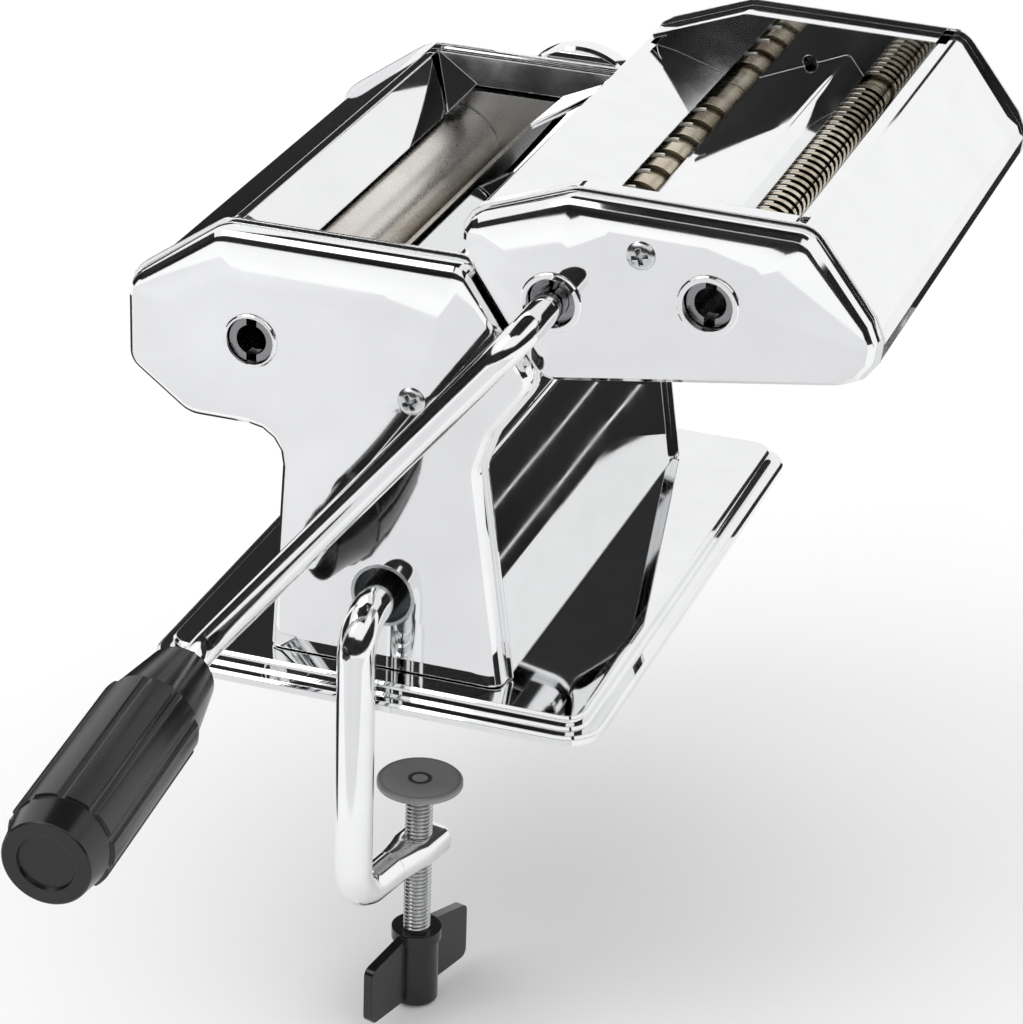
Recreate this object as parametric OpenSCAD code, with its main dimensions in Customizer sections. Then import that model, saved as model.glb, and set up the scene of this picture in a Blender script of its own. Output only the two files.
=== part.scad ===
/* [Main body] */
// Width of the end covers, across the rollers
body_w = 112; // [106:1:120]
// Height of the end covers' rim above the table
body_h = 132.3; // [128:0.1:140]
// Clear distance between the two side frames
roller_span = 148; // [120:1:190]
// Thickness of the side frames
frame_t = 2.5; // [2:0.1:3]
// Gap between a side frame and the rim plane of its cover
cover_gap = 2.5; // [2:0.1:4]

/* [End covers] */
// Depth of a pressed end cover
cover_d = 7.5; // [7:0.1:9]
// Sheet thickness of the covers
cover_t = 1; // [0.8:0.1:1.2]
// Distance that a cover's rim stands outside its flat face
rim_out = 4.5; // [4:0.1:5]
// Thickness of the flat lip round a cover's rim
lip_t = 0.9; // [0.6:0.1:1.2]
// Width of the flat lip round a cover's rim
lip_w = 1.2; // [0.8:0.1:1.5]

/* [Rollers] */
// Radius of the two smooth rollers
roller_r = 16; // [15:0.1:17]
// Widest gap between the smooth rollers
gap_max = 2.8; // [2.6:0.1:3.2]
// Distance that the adjuster closes the rollers
gap_travel = 2.6; // [2:0.1:2.6]
// Radius of the roller shafts in their bushes
shaft_r = 5; // [4.5:0.1:5.5]
// Radius of the hollow driving end of a roller
socket_r = 6.5; // [6.2:0.1:7]
// Radius of the socket bore that takes the crank
socket_bore_r = 4.35; // [4.3:0.01:4.6]
// Depth of the socket bore
socket_depth = 14; // [12:0.5:16]
// Number of teeth on each roller gear
gear_teeth = 14; // [14:1:14]
// Width of the roller gears
gear_w = 5; // [4:0.1:5.5]

/* [Base] */
// Width of the base tray
base_w = 133; // [128:1:150]
// Height of the base tray's top
base_h = 7.2; // [7:0.1:10]
// Distance from the front cover's face to the base tray's front edge
base_front = 12.5; // [10:0.5:14]
// Distance from the rear cover's face to the base tray's rear edge
base_rear = 19.5; // [12:0.5:26]
// Radius of the base tray's corners
base_corner_r = 11; // [8:0.5:14]
// Sheet thickness of the base tray and the body panels
sheet_t = 0.9; // [0.7:0.1:1.1]

/* [Cutter unit] */
// Width of the cutter unit's end caps
cut_w = 104; // [102:1:110]
// Height of the cutter unit's end caps
cut_h = 46; // [45:0.5:50]
// Clear distance between the cutter unit's side plates
cut_span = 150; // [122:1:192]
// Thickness of the cutter unit's side plates
cut_plate_t = 2; // [1.5:0.1:2.5]
// Distance from a side plate to the rim plane of its end cap
cut_gap = 7; // [6.5:0.1:8]
// Depth of the cutter unit's end caps
cap_d = 7; // [6.5:0.1:8]
// Radius of the cutter rollers over their lands
cutter_r = 8.2; // [8:0.1:8.4]
// Depth of the grooves between the lands
groove_d = 1.3; // [1.2:0.1:1.6]
// Distance that the lands of a pair overlap
cutter_mesh = 0.9; // [0.7:0.1:1]
// Width of the noodles from the wide cutter
wide_land = 6.7; // [6:0.1:7]
// Width of the noodles from the narrow cutter
narrow_land = 2; // [1.6:0.1:2.2]
// Tilt of the cutter rollers' line
cut_tilt = 8.2; // [6:0.1:10]

/* [Crank] */
// Radius of the crank's rod
crank_r = 4.25; // [4:0.01:4.28]
// Length of the crank's arm
crank_arm_len = 143; // [110:1:150]
// Distance from the cutter unit's face to the arm's centre line
crank_reach = 26; // [25:0.5:32]
// Length of the grip
grip_len = 96; // [80:1:110]
// Radius of the grip's fluted barrel
grip_r = 14.6; // [11:0.1:16]
// Radius of the spindle inside the grip
spindle_r = 3.2; // [2.8:0.1:3.6]

/* [Table clamp] */
// Radius of the clamp's bent rod
clamp_r = 5.4; // [5:0.1:6]
// Height of the clamp's hole above the table
clamp_z = 29.9; // [26:0.1:34]
// Distance from the clamp's hole down to its lower arm
clamp_drop = 87.4; // [70:0.1:95]
// Radius of the clamp screw
screw_r = 4; // [3.5:0.1:4]
// Radius of the clamp's pad
pad_r = 12.5; // [10:0.1:14]
// Distance from the table face down to the pad
jaw_gap = 35.1; // [26:0.1:40]

/* [Hidden] */

// Faces of a full circle and steps in a rounded corner
round_fn = 64;
corner_steps = 4;
// Extra length of every cutting shape past the face that it cuts
over = 1;
// Radial running clearance of shafts in their bushes
run = 0.05;
// Clearance between pieces that move past each other
gap = 0.3;
// Clearance of a sliding fit
slip = 0.1;

// Chrome, satin and plastic colours
chrome_c = [0.82, 0.83, 0.84];
steel_c = [0.66, 0.67, 0.69];
black_c = [0.12, 0.12, 0.13];
bronze_c = [0.72, 0.62, 0.44];
nylon_c = [0.9, 0.88, 0.82];

// Vector helpers in the plane of the end covers
function unit(v) = v / norm(v);
function outward(v) = [v[1], -v[0]];
function turn(u, v) = u[0] * v[1] - u[1] * v[0];
function spin(v, a) = [v[0] * cos(a) - v[1] * sin(a), v[0] * sin(a) + v[1] * cos(a)];
function wrap(a) = a > 180 ? a - 360 : (a < -180 ? a + 360 : a);

// Point where two edges meet once each has moved outward by its own distance
function moved(p, n1, n2, d1, d2) =
  let(c = n1 * n2, k = 1 - c * c)
  p + ((d1 - d2 * c) * n1 + (d2 - d1 * c) * n2) / k;

// Rounded corner at b between the points a and c
function round_at(a, b, c, r, steps) =
  let(u = unit(a - b), v = unit(c - b), half = acos(u * v) / 2,
    mid = b + unit(u + v) * r / sin(half), s = b + u * r / tan(half),
    e = b + v * r / tan(half), a0 = atan2(s[1] - mid[1], s[0] - mid[0]),
    da = wrap(atan2(e[1] - mid[1], e[0] - mid[0]) - a0))
  [for (i = [0 : steps]) mid + r * [cos(a0 + da * i / steps), sin(a0 + da * i / steps)]];

// Closed outline through corners [x, z, radius], moved outward by d, its first edge by d0
function outline(c, d, d0, steps = corner_steps) =
  let(n = len(c),
    p = [for (q = c) [q[0], q[1]]],
    e = [for (i = [0 : n - 1]) unit(p[(i + 1) % n] - p[i])],
    w = [for (i = [0 : n - 1]) i == 0 ? d0 : d],
    m = [for (i = [0 : n - 1]) moved(p[i], outward(e[(i + n - 1) % n]), outward(e[i]),
      w[(i + n - 1) % n], w[i])],
    s = [for (i = [0 : n - 1]) turn(e[(i + n - 1) % n], e[i]) > 0 ? 1 : -1],
    r = [for (i = [0 : n - 1]) max(c[i][2] + s[i] * (i < 2 ? d0 : d), c[i][2] * 0.2)])
  [for (i = [0 : n - 1]) each round_at(m[(i + n - 1) % n], m[i], m[(i + 1) % n], r[i], steps)];

// Open path through corners [x, z, radius], moved to its right side by d
function path_pts(c, d, steps = corner_steps) =
  let(n = len(c),
    p = [for (q = c) [q[0], q[1]]],
    e = [for (i = [0 : n - 2]) unit(p[i + 1] - p[i])],
    m = [for (i = [0 : n - 1]) i == 0 ? p[0] + outward(e[0]) * d
      : (i == n - 1 ? p[i] + outward(e[n - 2]) * d
      : moved(p[i], outward(e[i - 1]), outward(e[i]), d, d))])
  [for (i = [0 : n - 1]) each i == 0 || i == n - 1 ? [m[i]]
    : round_at(m[i - 1], m[i], m[i + 1],
      c[i][2] + (turn(e[i - 1], e[i]) > 0 ? d : -d), steps)];
function reversed(l) = [for (i = [len(l) - 1 : -1 : 0]) l[i]];

// Folded sheet of thickness t along an open path, on the path's right side from d to d + t
module folded(c, d, t) {
  polygon(concat(path_pts(c, d), reversed(path_pts(c, d + t))));
}
// Profile in x and z drawn out along y from y0 to y1
module along_y(y0, y1) {
  translate([0, y1, 0]) rotate([90, 0, 0]) linear_extrude(y1 - y0) children();
}
module rod_y(p, r, y0, y1) {
  translate([p[0], y1, p[1]]) rotate([90, 0, 0]) cylinder(r = r, h = y1 - y0, $fn = round_fn);
}
// Profile of radius and y turned about an axis along y through p
module turned_y(p) {
  translate([p[0], 0, p[1]]) rotate([-90, 0, 0]) rotate_extrude($fn = round_fn) children();
}
module both_ends() {
  children();
  mirror([0, 1, 0]) children();
}

// Main body, all in millimetres from the table face under the base's centre
frame_in = roller_span / 2;
frame_out = frame_in + frame_t;
rim_y = frame_out + cover_gap;
face_y = rim_y + cover_d;
cover_in = face_y - cover_t;
cover_foot = base_h + gap / 2;
rise = body_h - base_h;

// Corners of the flat face of an end cover, from the lower left corner round to the right
face_shares = [[-0.267, 0.003, 0], [0.295, 0.003, 0], [0.211, 0.518, 12], [0.246, 0.618, 12],
  [0.3455, 0.747, 4.5], [0.18, 0.964, 3], [-0.424, 0.964, 6], [-0.648, 0.823, 6],
  [-0.648, 0.655, 3], [-0.508, 0.561, 6], [-0.234, 0.561, 13]];
foot_r = 0.6;
radius_unit = body_w / 112;
face_c = [for (s = face_shares)
  [s[0] * body_w, base_h + s[1] * rise, s[2] == 0 ? foot_r : s[2] * radius_unit]];
function corner(i) = [face_c[i][0], face_c[i][1]];

// Direction down the right chamfer, where the cutter unit hangs, and its outward normal
chamfer_t = unit(corner(4) - corner(5));
chamfer_n = -outward(chamfer_t);
chamfer_off = corner(5) * chamfer_n;

// Outer surface of the body panels, measured out from the covers' flat face outline
panel_off = 2.7;

// Axes of the two smooth rollers, of the adjuster and of the carrier's cross bar
drive_p = [-0.347 * body_w, base_h + 0.742 * rise];
rest_dist = 2 * roller_r + gap_max;
idle_p = drive_p + [rest_dist, 0];
adjust_p = idle_p + [0.6, shaft_r + 7.5];
bar_r = 3.5;
bar_p = idle_p + [22.5, 9.5];

// Cutter unit, from its wide cutter's driving axis
rim_space = 1.8;
axis_in = 12.1;
cut_axis_drop = 16.1;
wide_drive_p = chamfer_n * (chamfer_off + 2 * rim_out + rim_space + axis_in)
  + chamfer_t * (corner(5) * chamfer_t + cut_axis_drop);
pair_dist = 2 * cutter_r - cutter_mesh;
pair_v = [cos(cut_tilt), sin(cut_tilt)];
drive_step = 0.413 * cut_w;
wide_driven_p = wide_drive_p + pair_v * pair_dist;
narrow_drive_p = wide_drive_p + pair_v * drive_step;
narrow_driven_p = narrow_drive_p + pair_v * pair_dist;
cut_plate_in = cut_span / 2;
cut_plate_out = cut_plate_in + cut_plate_t;
cut_rim_y = cut_plate_out + cut_gap;
cut_face_y = cut_rim_y + cap_d;
cut_cap_in = cut_face_y - cover_t;

// Corners of the flat face of a cutter unit cap, from its lower left corner round to the right
bevel_shares = [0.343, -0.596];
cap_shares = [[0.87, -0.128], [0.633, 0.557], [0.036, 0.576]];
cap_radii = [4, 8, 4, 5, 5];
function bevel_p(s) = wide_drive_p - chamfer_n * axis_in + chamfer_t * s * cut_h;
function cap_p(s) = wide_drive_p + [s[0] * cut_w, s[1] * cut_h];
cap_pts = [bevel_p(bevel_shares[0]), for (s = cap_shares) cap_p(s), bevel_p(bevel_shares[1])];
cap_c = [for (i = [0 : 4]) [cap_pts[i][0], cap_pts[i][1], cap_radii[i]]];

// Sharp corner i of a closed outline moved outward by d
function sharp(c, i, d) =
  let(n = len(c), p = [for (q = c) [q[0], q[1]]],
    e0 = unit(p[i] - p[(i + n - 1) % n]), e1 = unit(p[(i + 1) % n] - p[i]))
  moved(p[i], outward(e0), outward(e1), d, d);

// Rings of an end cover as [outward, depth], outer skin then inner skin; the lip's top falls a little
edge_r = rim_out - lip_w;
lip_fall = 0.05;
round_angles = [0, 30, 60, 90];
function skin_rings(depth) = [
  [rim_out, 0], [rim_out, lip_t], [edge_r, lip_t + lip_fall],
  for (a = round_angles) [edge_r * cos(a), depth - edge_r + edge_r * sin(a)]];
function lining_rings(depth) = let(in_r = edge_r - cover_t) [
  for (a = [90, 45, 0]) [in_r * cos(a), depth - edge_r + in_r * sin(a)], [in_r, 0]];

// Pressed dish from rings of equal length, the first na of them on its outer skin. The middle
// points, one for each flat face, see the whole outline, so that a waisted face is cut right.
module dish(rings, na, middles) {
  n = len(rings[0]);
  m = len(rings);
  sides = [for (k = [0 : m - 1]) if (k != na - 1) for (i = [0 : n - 1])
    let(a = k * n + i, b = k * n + (i + 1) % n, c = ((k + 1) % m) * n + (i + 1) % n,
      d = ((k + 1) % m) * n + i)
    each [[a, c, b], [a, d, c]]];
  outer_cap = [for (i = [0 : n - 1]) [m * n, (na - 1) * n + (i + 1) % n, (na - 1) * n + i]];
  inner_cap = [for (i = [0 : n - 1]) [m * n + 1, na * n + i, na * n + (i + 1) % n]];
  polyhedron(points = concat([for (r = rings) each r], middles), faces = concat(sides, outer_cap, inner_cap));
}

// Front end cover or cap: an outline dished forward from the rim plane at y, on a flat foot or not
module end_dish(c, y, depth, foot, middle) {
  outer = skin_rings(depth);
  inner = lining_rings(depth);
  dish([for (g = outer) [for (q = outline(c, g[0], foot ? 0 : g[0])) [q[0], -y - g[1], q[1]]],
    for (g = inner) [for (q = outline(c, g[0], foot ? -cover_t : g[0])) [q[0], -y - g[1], q[1]]]],
    len(outer), [[middle[0], -y - depth, middle[1]], [middle[0], -y - depth + cover_t, middle[1]]]);
}

// Hopper and casing corners on the outer surface of the panels
lip_z = corner(6)[1] + panel_off;
left_edge = drive_p + [3.4, roller_r + 1.7];
left_lip = [drive_p[0] - 6.9, lip_z];
right_edge = idle_p + [-4.6, roller_r + 1.5];
right_lip = [corner(5)[0] - 3.3, lip_z];
panel_end = panel_off - sheet_t;

function at_r(p, r) = [p[0], p[1], r];
left_case = [at_r(left_lip, 1), at_r(sharp(face_c, 6, panel_off), 4),
  at_r(sharp(face_c, 7, panel_off), 8), at_r(sharp(face_c, 8, panel_off), 5),
  at_r(sharp(face_c, 9, panel_off), 8),
  [corner(10)[0] - 18.3, corner(10)[1] - panel_off, 1]];
right_foot = sharp(face_c, 1, panel_off);
right_case = [[right_foot[0] - 0.4, cover_foot, 1], at_r(sharp(face_c, 2, panel_off), 10),
  at_r(sharp(face_c, 3, panel_off), 10), at_r(sharp(face_c, 4, panel_off), 6),
  at_r(sharp(face_c, 5, panel_off), 4), at_r(right_lip, 1)];

// Hopper ends: how far the corner gussets reach in, and the sloped ends' lower edges
gusset_len = 14.5;
hopper_y = frame_in - gap;
hopper_top_y = rim_y - 1.5;
end_low_x = [left_edge[0] + 4, right_edge[0] + 5.7];
rear_low = [frame_in, lip_z - 8];
gear_cover = 2.1;

// Keeps the part of a hopper slope between its end gussets
module slope_plan(x_lip, x_edge) {
  translate([0, 0, base_h]) linear_extrude(body_h)
    polygon([[x_lip, -hopper_top_y + gap], [x_edge, -hopper_y + gusset_len + gap],
      [x_edge, hopper_y - gusset_len - gap], [x_lip, hopper_top_y - gap]]);
}
// Flat plate through the points of p, thickened by t along its normal
module plate(p, t) {
  n = len(p);
  v = unit(cross(p[1] - p[0], p[2] - p[0])) * t;
  polyhedron(points = concat(p, [for (q = p) q + v]), faces = concat(
    [[for (i = [0 : n - 1]) i], [for (i = [2 * n - 1 : -1 : n]) i]],
    [for (i = [0 : n - 1]) [i, i + n, (i + 1) % n + n, (i + 1) % n]]));
}

// Fixed pieces of the main body
base_x = 0.004 * base_w;
base_y0 = -face_y - base_front;
base_y1 = face_y + base_rear;
function base_ring(inset, z) = [for (q = outline([
  [base_x - base_w / 2, base_y0, base_corner_r], [base_x + base_w / 2, base_y0, base_corner_r],
  [base_x + base_w / 2, base_y1, base_corner_r], [base_x - base_w / 2, base_y1, base_corner_r]],
  -inset, -inset, 6)) [q[0], q[1], z]];
tray_edge = 4.6;
tray_step = 3.4;
tray_lift = 0.6;
edge_soft = 0.8;
module base_tray() {
  color(chrome_c) difference() {
    dish([base_ring(0, tray_lift), base_ring(0, tray_step - edge_soft),
      base_ring(edge_soft, tray_step), base_ring(tray_edge - edge_soft, tray_step),
      base_ring(tray_edge, tray_step + edge_soft), base_ring(tray_edge, base_h - edge_soft),
      base_ring(tray_edge + edge_soft, base_h),
      base_ring(tray_edge + edge_soft + sheet_t / 2, base_h - sheet_t),
      base_ring(tray_edge + sheet_t, base_h - sheet_t - edge_soft / 2),
      base_ring(tray_edge + sheet_t, tray_step - sheet_t),
      base_ring(sheet_t, tray_step - sheet_t), base_ring(sheet_t, tray_lift)],
      7, [[base_x, 0, base_h], [base_x, 0, base_h - sheet_t]]);
    for (q = foot_screws) translate([q[0], q[1], 0]) cylinder(r = foot_screw_r, h = base_h + over,
      $fn = round_fn);
  }
}
board_t = 2;
module base_board() {
  color(black_c) linear_extrude(board_t)
    polygon([for (q = base_ring(sheet_t + gap, 0)) [q[0], q[1]]]);
}
foot_screw_r = 2;
foot_x = [-0.16 * body_w, 0.19 * body_w];
foot_in = frame_in - 6;
foot_screws = [for (x = foot_x) for (s = [-1, 1]) [x, s * foot_in]];
foot_w = 12;
screw_head_r = 3.6;
screw_head_h = 2;
module base_screws() {
  color(steel_c) for (q = foot_screws) translate([q[0], q[1], 0]) {
    translate([0, 0, base_h - sheet_t - screw_head_h])
      cylinder(r = screw_head_r, h = screw_head_h, $fn = round_fn);
    translate([0, 0, base_h - sheet_t - screw_head_h])
      cylinder(r = foot_screw_r, h = screw_head_h + sheet_t + frame_t, $fn = round_fn);
  }
}

// Side frames
frame_off = 1.5;
tie_r = 3.5;
tie_end_r = 2;
tie_shares = [[-0.571, 0.71], [0.125, 0.47], [-0.152, 0.15], [0.205, 0.118], [0.268, 0.75]];
tie_pts = [for (s = tie_shares) [s[0] * body_w, base_h + s[1] * rise]];
cover_screw_p = idle_p + [12.2, -9.8];
boss_r = 4;
clamp_slack = 3.9;
clamp_wall = 0.9;
clamp_tube_r = clamp_r + clamp_slack;
clamp_p = [0.007 * body_w, clamp_z];
slot_play = 0.4;
module slot_hole(p, r, y0, y1) {
  rod_y(p, r, y0, y1);
  rod_y(p - [gap_travel, 0], r, y0, y1);
  translate([p[0] - gap_travel, y0, p[1] - r]) cube([gap_travel, y1 - y0, 2 * r]);
}
module frame_plate(shaft_hole_r) {
  difference() {
    union() {
      along_y(-frame_out, -frame_in) polygon(outline(face_c, frame_off, 0));
      translate([corner(0)[0] + frame_t, -frame_out, base_h])
        cube([corner(1)[0] - corner(0)[0] - 2 * frame_t, foot_w + frame_t, frame_t]);
      rod_y(cover_screw_p, boss_r, -cover_in, -frame_out);
    }
    rod_y(drive_p, shaft_hole_r, -frame_out - over, -frame_in + over);
    slot_hole(idle_p, shaft_r + slot_play, -frame_out - over, -frame_in + over);
    slot_hole(bar_p, bar_r + slot_play, -frame_out - over, -frame_in + over);
    rod_y(cover_screw_p, tie_end_r, -cover_in - over, -frame_in + over);
    for (q = tie_pts) rod_y(q, tie_end_r, -frame_out - over, -frame_in + over);
    for (x = foot_x) translate([x, -foot_in, base_h - over])
      cylinder(r = foot_screw_r, h = frame_t + 2 * over, $fn = round_fn);
    along_y(-frame_out - over, -frame_in + over)
      polygon([[left_lip[0] - 2 * sheet_t, lip_z + over],
        [left_lip[0] - 2 * sheet_t, rear_low[1] - 2 * sheet_t],
        [right_lip[0] + 2 * sheet_t, rear_low[1] - 2 * sheet_t],
        [right_lip[0] + 2 * sheet_t, lip_z + over]]);
  }
}
front_bush_r = socket_r + 2.5;
rear_bush_r = shaft_r + 2.5;
module front_frame() {
  color(steel_c) difference() {
    frame_plate(front_bush_r);
    rod_y(clamp_p, clamp_tube_r, -frame_out - over, -frame_in + over);
  }
}
adjust_shaft_r = 4;
module rear_frame() {
  color(steel_c) mirror([0, 1, 0]) difference() {
    frame_plate(rear_bush_r);
    rod_y(adjust_p, adjust_shaft_r + run, -frame_out - over, -frame_in + over);
  }
}

// End covers
collar_r = 7.8;
collar_seat_r = 7.2;
module body_cover() {
  difference() {
    end_dish(face_c, rim_y, cover_d, true, cover_screw_p);
    rod_y(cover_screw_p, tie_end_r, -face_y - over, -cover_in + over);
  }
}
module front_cover() {
  color(chrome_c) difference() {
    body_cover();
    rod_y(drive_p, collar_seat_r, -face_y - over, -cover_in + over);
    rod_y(clamp_p, clamp_tube_r, -face_y - over, -cover_in + over);
  }
}
module rear_cover() {
  color(chrome_c) mirror([0, 1, 0]) difference() {
    body_cover();
    rod_y(adjust_p, adjust_shaft_r + gap, -face_y - over, -cover_in + over);
  }
}
// Pan head screw through a cover into its boss
pan_r = 4;
pan_h = 1.6;
module pan_screw(p, y_face, y_end) {
  turned_y(p) polygon([[0, -y_face - pan_h], [pan_r * 0.6, -y_face - pan_h * 0.9],
    [pan_r * 0.92, -y_face - pan_h * 0.5], [pan_r, -y_face], [tie_end_r, -y_face],
    [tie_end_r, -y_end], [0, -y_end]]);
}
module cover_screws() {
  color(steel_c) both_ends() pan_screw(cover_screw_p, face_y, frame_out);
}

// Casing panels, each with its hopper slope
module left_panel() {
  color(chrome_c) {
    along_y(-rim_y, rim_y) folded(left_case, -sheet_t, sheet_t);
    intersection() {
      along_y(-hopper_y, hopper_y)
        folded([at_r(left_edge, 1), at_r(left_lip, 1), at_r(left_case[1], 1)], -sheet_t, sheet_t);
      slope_plan(left_lip[0] - rim_out, left_edge[0] + sheet_t);
    }
  }
}
module right_panel() {
  color(chrome_c) {
    along_y(-rim_y, rim_y) folded(right_case, -sheet_t, sheet_t);
    intersection() {
      along_y(-hopper_y, hopper_y)
        folded([right_case[4], at_r(right_lip, 2), at_r(right_edge, 1)], -sheet_t, sheet_t);
      slope_plan(right_lip[0] + rim_out, right_edge[0] - sheet_t);
    }
  }
}
// One end of the hopper on the far side: sloped plate, two corner gussets and a top flange
module hopper_end(low) {
  l0 = [left_lip[0], hopper_top_y, lip_z];
  l1 = [right_lip[0], hopper_top_y, lip_z];
  w0 = [end_low_x[0], low[0], low[1]];
  w1 = [end_low_x[1], low[0], low[1]];
  e0 = [left_edge[0], hopper_y - gusset_len, left_edge[1]];
  e1 = [right_edge[0], hopper_y - gusset_len, right_edge[1]];
  plate([l0, w0, w1, l1], sheet_t);
  plate([l0, e0, w0], sheet_t);
  plate([l1, w1, e1], sheet_t);
  translate([l0[0], l0[1], lip_z - sheet_t]) cube([l1[0] - l0[0], rim_y - l0[1], sheet_t]);
}
module hopper_ends() {
  color(chrome_c) {
    hopper_end(rear_low);
    mirror([0, 1, 0]) hopper_end([roller_front - gear_cover, drive_p[1] + roller_r + 2.5]);
  }
}
module along_x(x0, x1) {
  translate([x0, 0, 0]) rotate([90, 0, 90]) linear_extrude(x1 - x0) children();
}
guide_top = [idle_p[0] - 10, drive_p[1] - roller_r - 4.5];
guide_bend = [corner(10)[0] - panel_off - 1, corner(10)[1] - 17];
module sheet_guide() {
  color(chrome_c) along_y(-hopper_y, hopper_y)
    folded([at_r(guide_top, 1), at_r(guide_bend, 14),
      [corner(0)[0] - panel_off, base_h + foot_r, 1]], -sheet_t, sheet_t);
}
nut_h = 1.8;
module tie_rods() {
  color(steel_c) for (q = tie_pts) {
    rod_y(q, tie_r, -frame_in, frame_in);
    rod_y(q, tie_end_r, -frame_out - nut_h, frame_out + nut_h);
    both_ends() rod_y(q, tie_r, -frame_out - nut_h, -frame_out);
  }
}
flange_t = 0.8;
module bush(p, bore, outer, y0, y1) {
  difference() {
    union() {
      rod_y(p, outer, y0, y1);
      rod_y(p, outer + flange_t, y0 - flange_t, y0);
    }
    rod_y(p, bore, y0 - flange_t - over, y1 + over);
  }
}
module roller_bushes() {
  color(bronze_c) {
    bush(drive_p, socket_r + run, front_bush_r, -frame_out, -frame_in);
    mirror([0, 1, 0]) bush(drive_p, shaft_r + run, rear_bush_r, -frame_out, -frame_in);
  }
}
module collar(p, y_face) {
  turned_y(p) polygon([[socket_r + gap, -y_face - flange_t], [collar_r - flange_t / 2, -y_face - flange_t],
    [collar_r, -y_face - flange_t / 2], [collar_r, -y_face], [collar_seat_r, -y_face],
    [collar_seat_r, -y_face + 2 * cover_t], [socket_r + gap, -y_face + 2 * cover_t]]);
}
module crank_collar() {
  color(chrome_c) collar(drive_p, face_y);
}
clamp_tube_len = 54;
module clamp_tube() {
  color(steel_c) difference() {
    rod_y(clamp_p, clamp_tube_r, -face_y, -face_y + clamp_tube_len);
    rod_y(clamp_p, clamp_tube_r - clamp_wall, -face_y - over, -face_y + clamp_tube_len + over);
  }
}

// Rails of the body and tongues of the cutter unit, in the chamfer's own axes
module on_chamfer() {
  rotate([0, atan2(chamfer_n[0], chamfer_n[1]), 0]) children();
}
rail_y = 55;
rail_top_t = corner(5) * chamfer_t + 5;
rail_len = 25;
rail_base = chamfer_off + panel_off;
rail_sheet = 1.3;
rail_half = 6.5;
tongue_half = 4.6;
stem_half = 2.5;
rail_open = rail_sheet + 2 * slot_play + 1.4;
module rail_profile() {
  translate([-rail_half, rail_base]) square([2 * rail_half, rail_sheet]);
  for (s = [-1, 1]) {
    translate([s * (rail_half - rail_sheet / 2) - rail_sheet / 2, rail_base])
      square([rail_sheet, rail_open + rail_sheet]);
    translate([s * (rail_half + stem_half + slot_play) / 2 - (rail_half - stem_half - slot_play) / 2,
      rail_base + rail_open]) square([rail_half - stem_half - slot_play, rail_sheet]);
  }
}
module hitch_rails() {
  color(steel_c) on_chamfer() for (s = [-1, 1]) translate([0, s * rail_y, 0]) {
    along_x(rail_top_t, rail_top_t + rail_len) rail_profile();
    translate([rail_top_t + rail_len, -rail_half, rail_base])
      cube([rail_sheet, 2 * rail_half, rail_open + rail_sheet]);
  }
}
cut_panel_n = chamfer_off + 2 * rim_out + rim_space - panel_off;
tongue_len = 20;
module hitch_tongues() {
  t1 = rail_top_t + rail_len - gap;
  color(steel_c) on_chamfer() for (s = [-1, 1]) translate([0, s * rail_y, 0]) {
    along_x(t1 - tongue_len, t1) {
      translate([-tongue_half, rail_base + rail_sheet + slot_play]) square([2 * tongue_half, 1.4]);
      translate([-stem_half, rail_base + rail_sheet + slot_play])
        square([2 * stem_half, cut_panel_n - rail_base - rail_sheet - slot_play]);
    }
  }
}

// Scrapers that strip the dough from the smooth rollers
scraper_t = 1.2;
gear_face = frame_in - gap;
roller_front = gear_face - gear_w - gap;
scraper_angle = 130;
scraper_lean = 29.9;
scraper_foot = 0.75;
scraper_tip = drive_p + (roller_r + gap) * [cos(scraper_angle), -sin(scraper_angle)];
scraper_dir = -[sin(scraper_lean), cos(scraper_lean)];
scraper_floor = corner(10)[1] - panel_off + sheet_t + scraper_foot;
scraper_len = (scraper_tip[1] - scraper_floor) / cos(scraper_lean);
knee_share = 0.46;
module scraper() {
  root = scraper_tip + scraper_dir * scraper_len;
  side = outward(scraper_dir) * scraper_t;
  knee = scraper_tip + scraper_dir * scraper_len * knee_share;
  tip = scraper_tip;
  along_y(-roller_front, hopper_y) polygon([tip, root, root + side, tip + side]);
  along_y(-hopper_y, hopper_y) polygon([knee, root, root + side, knee + side]);
}
module roller_scrapers() {
  color(steel_c) {
    scraper();
    translate([drive_p[0] + idle_p[0], 0, 0]) mirror([1, 0, 0]) scraper();
  }
}
dial_r = 14.5;
dial_t = 0.8;
pin_r = 1.25;
pin_out = 4;
pin_ring = 11;
module dial_plate() {
  color(steel_c) difference() {
    union() {
      rod_y(adjust_p, dial_r, face_y, face_y + dial_t);
      rod_y(adjust_p + [0, pin_ring], pin_r, face_y, face_y + pin_out);
    }
    rod_y(adjust_p, adjust_shaft_r + gap, face_y - over, face_y + pin_out + over);
  }
}

// Spur gears as involute outlines, thinned for backlash and waisted below the base circle
function inv_angle(rb, r) = let(t = sqrt(max(r * r / (rb * rb) - 1, 0))) t * 180 / PI - atan(t);
function gear_outline(n, rp, ra, rf, thick, a0, press = 20, waist = 0.9) =
  let(rb = rp * cos(press), h0 = thick / rp * 90 / PI + inv_angle(rb, rp),
    rs = [rf, for (j = [0 : 4]) rb + (ra - rb) * j / 4],
    hs = [for (r = rs) r < rb ? h0 * waist : h0 - inv_angle(rb, r)])
  [for (i = [0 : n - 1]) each concat(
    [for (j = [0 : 5]) rs[j] * [cos(a0 + i * 360 / n - hs[j]), sin(a0 + i * 360 / n - hs[j])]],
    [for (j = [5 : -1 : 0]) rs[j] * [cos(a0 + i * 360 / n + hs[j]), sin(a0 + i * 360 / n + hs[j])]])];
gear_rp = (rest_dist - gap_travel / 2) / 2;
gear_module = 2 * gear_rp / gear_teeth;
gear_ra = gear_rp + 0.9 * gear_module;
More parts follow.
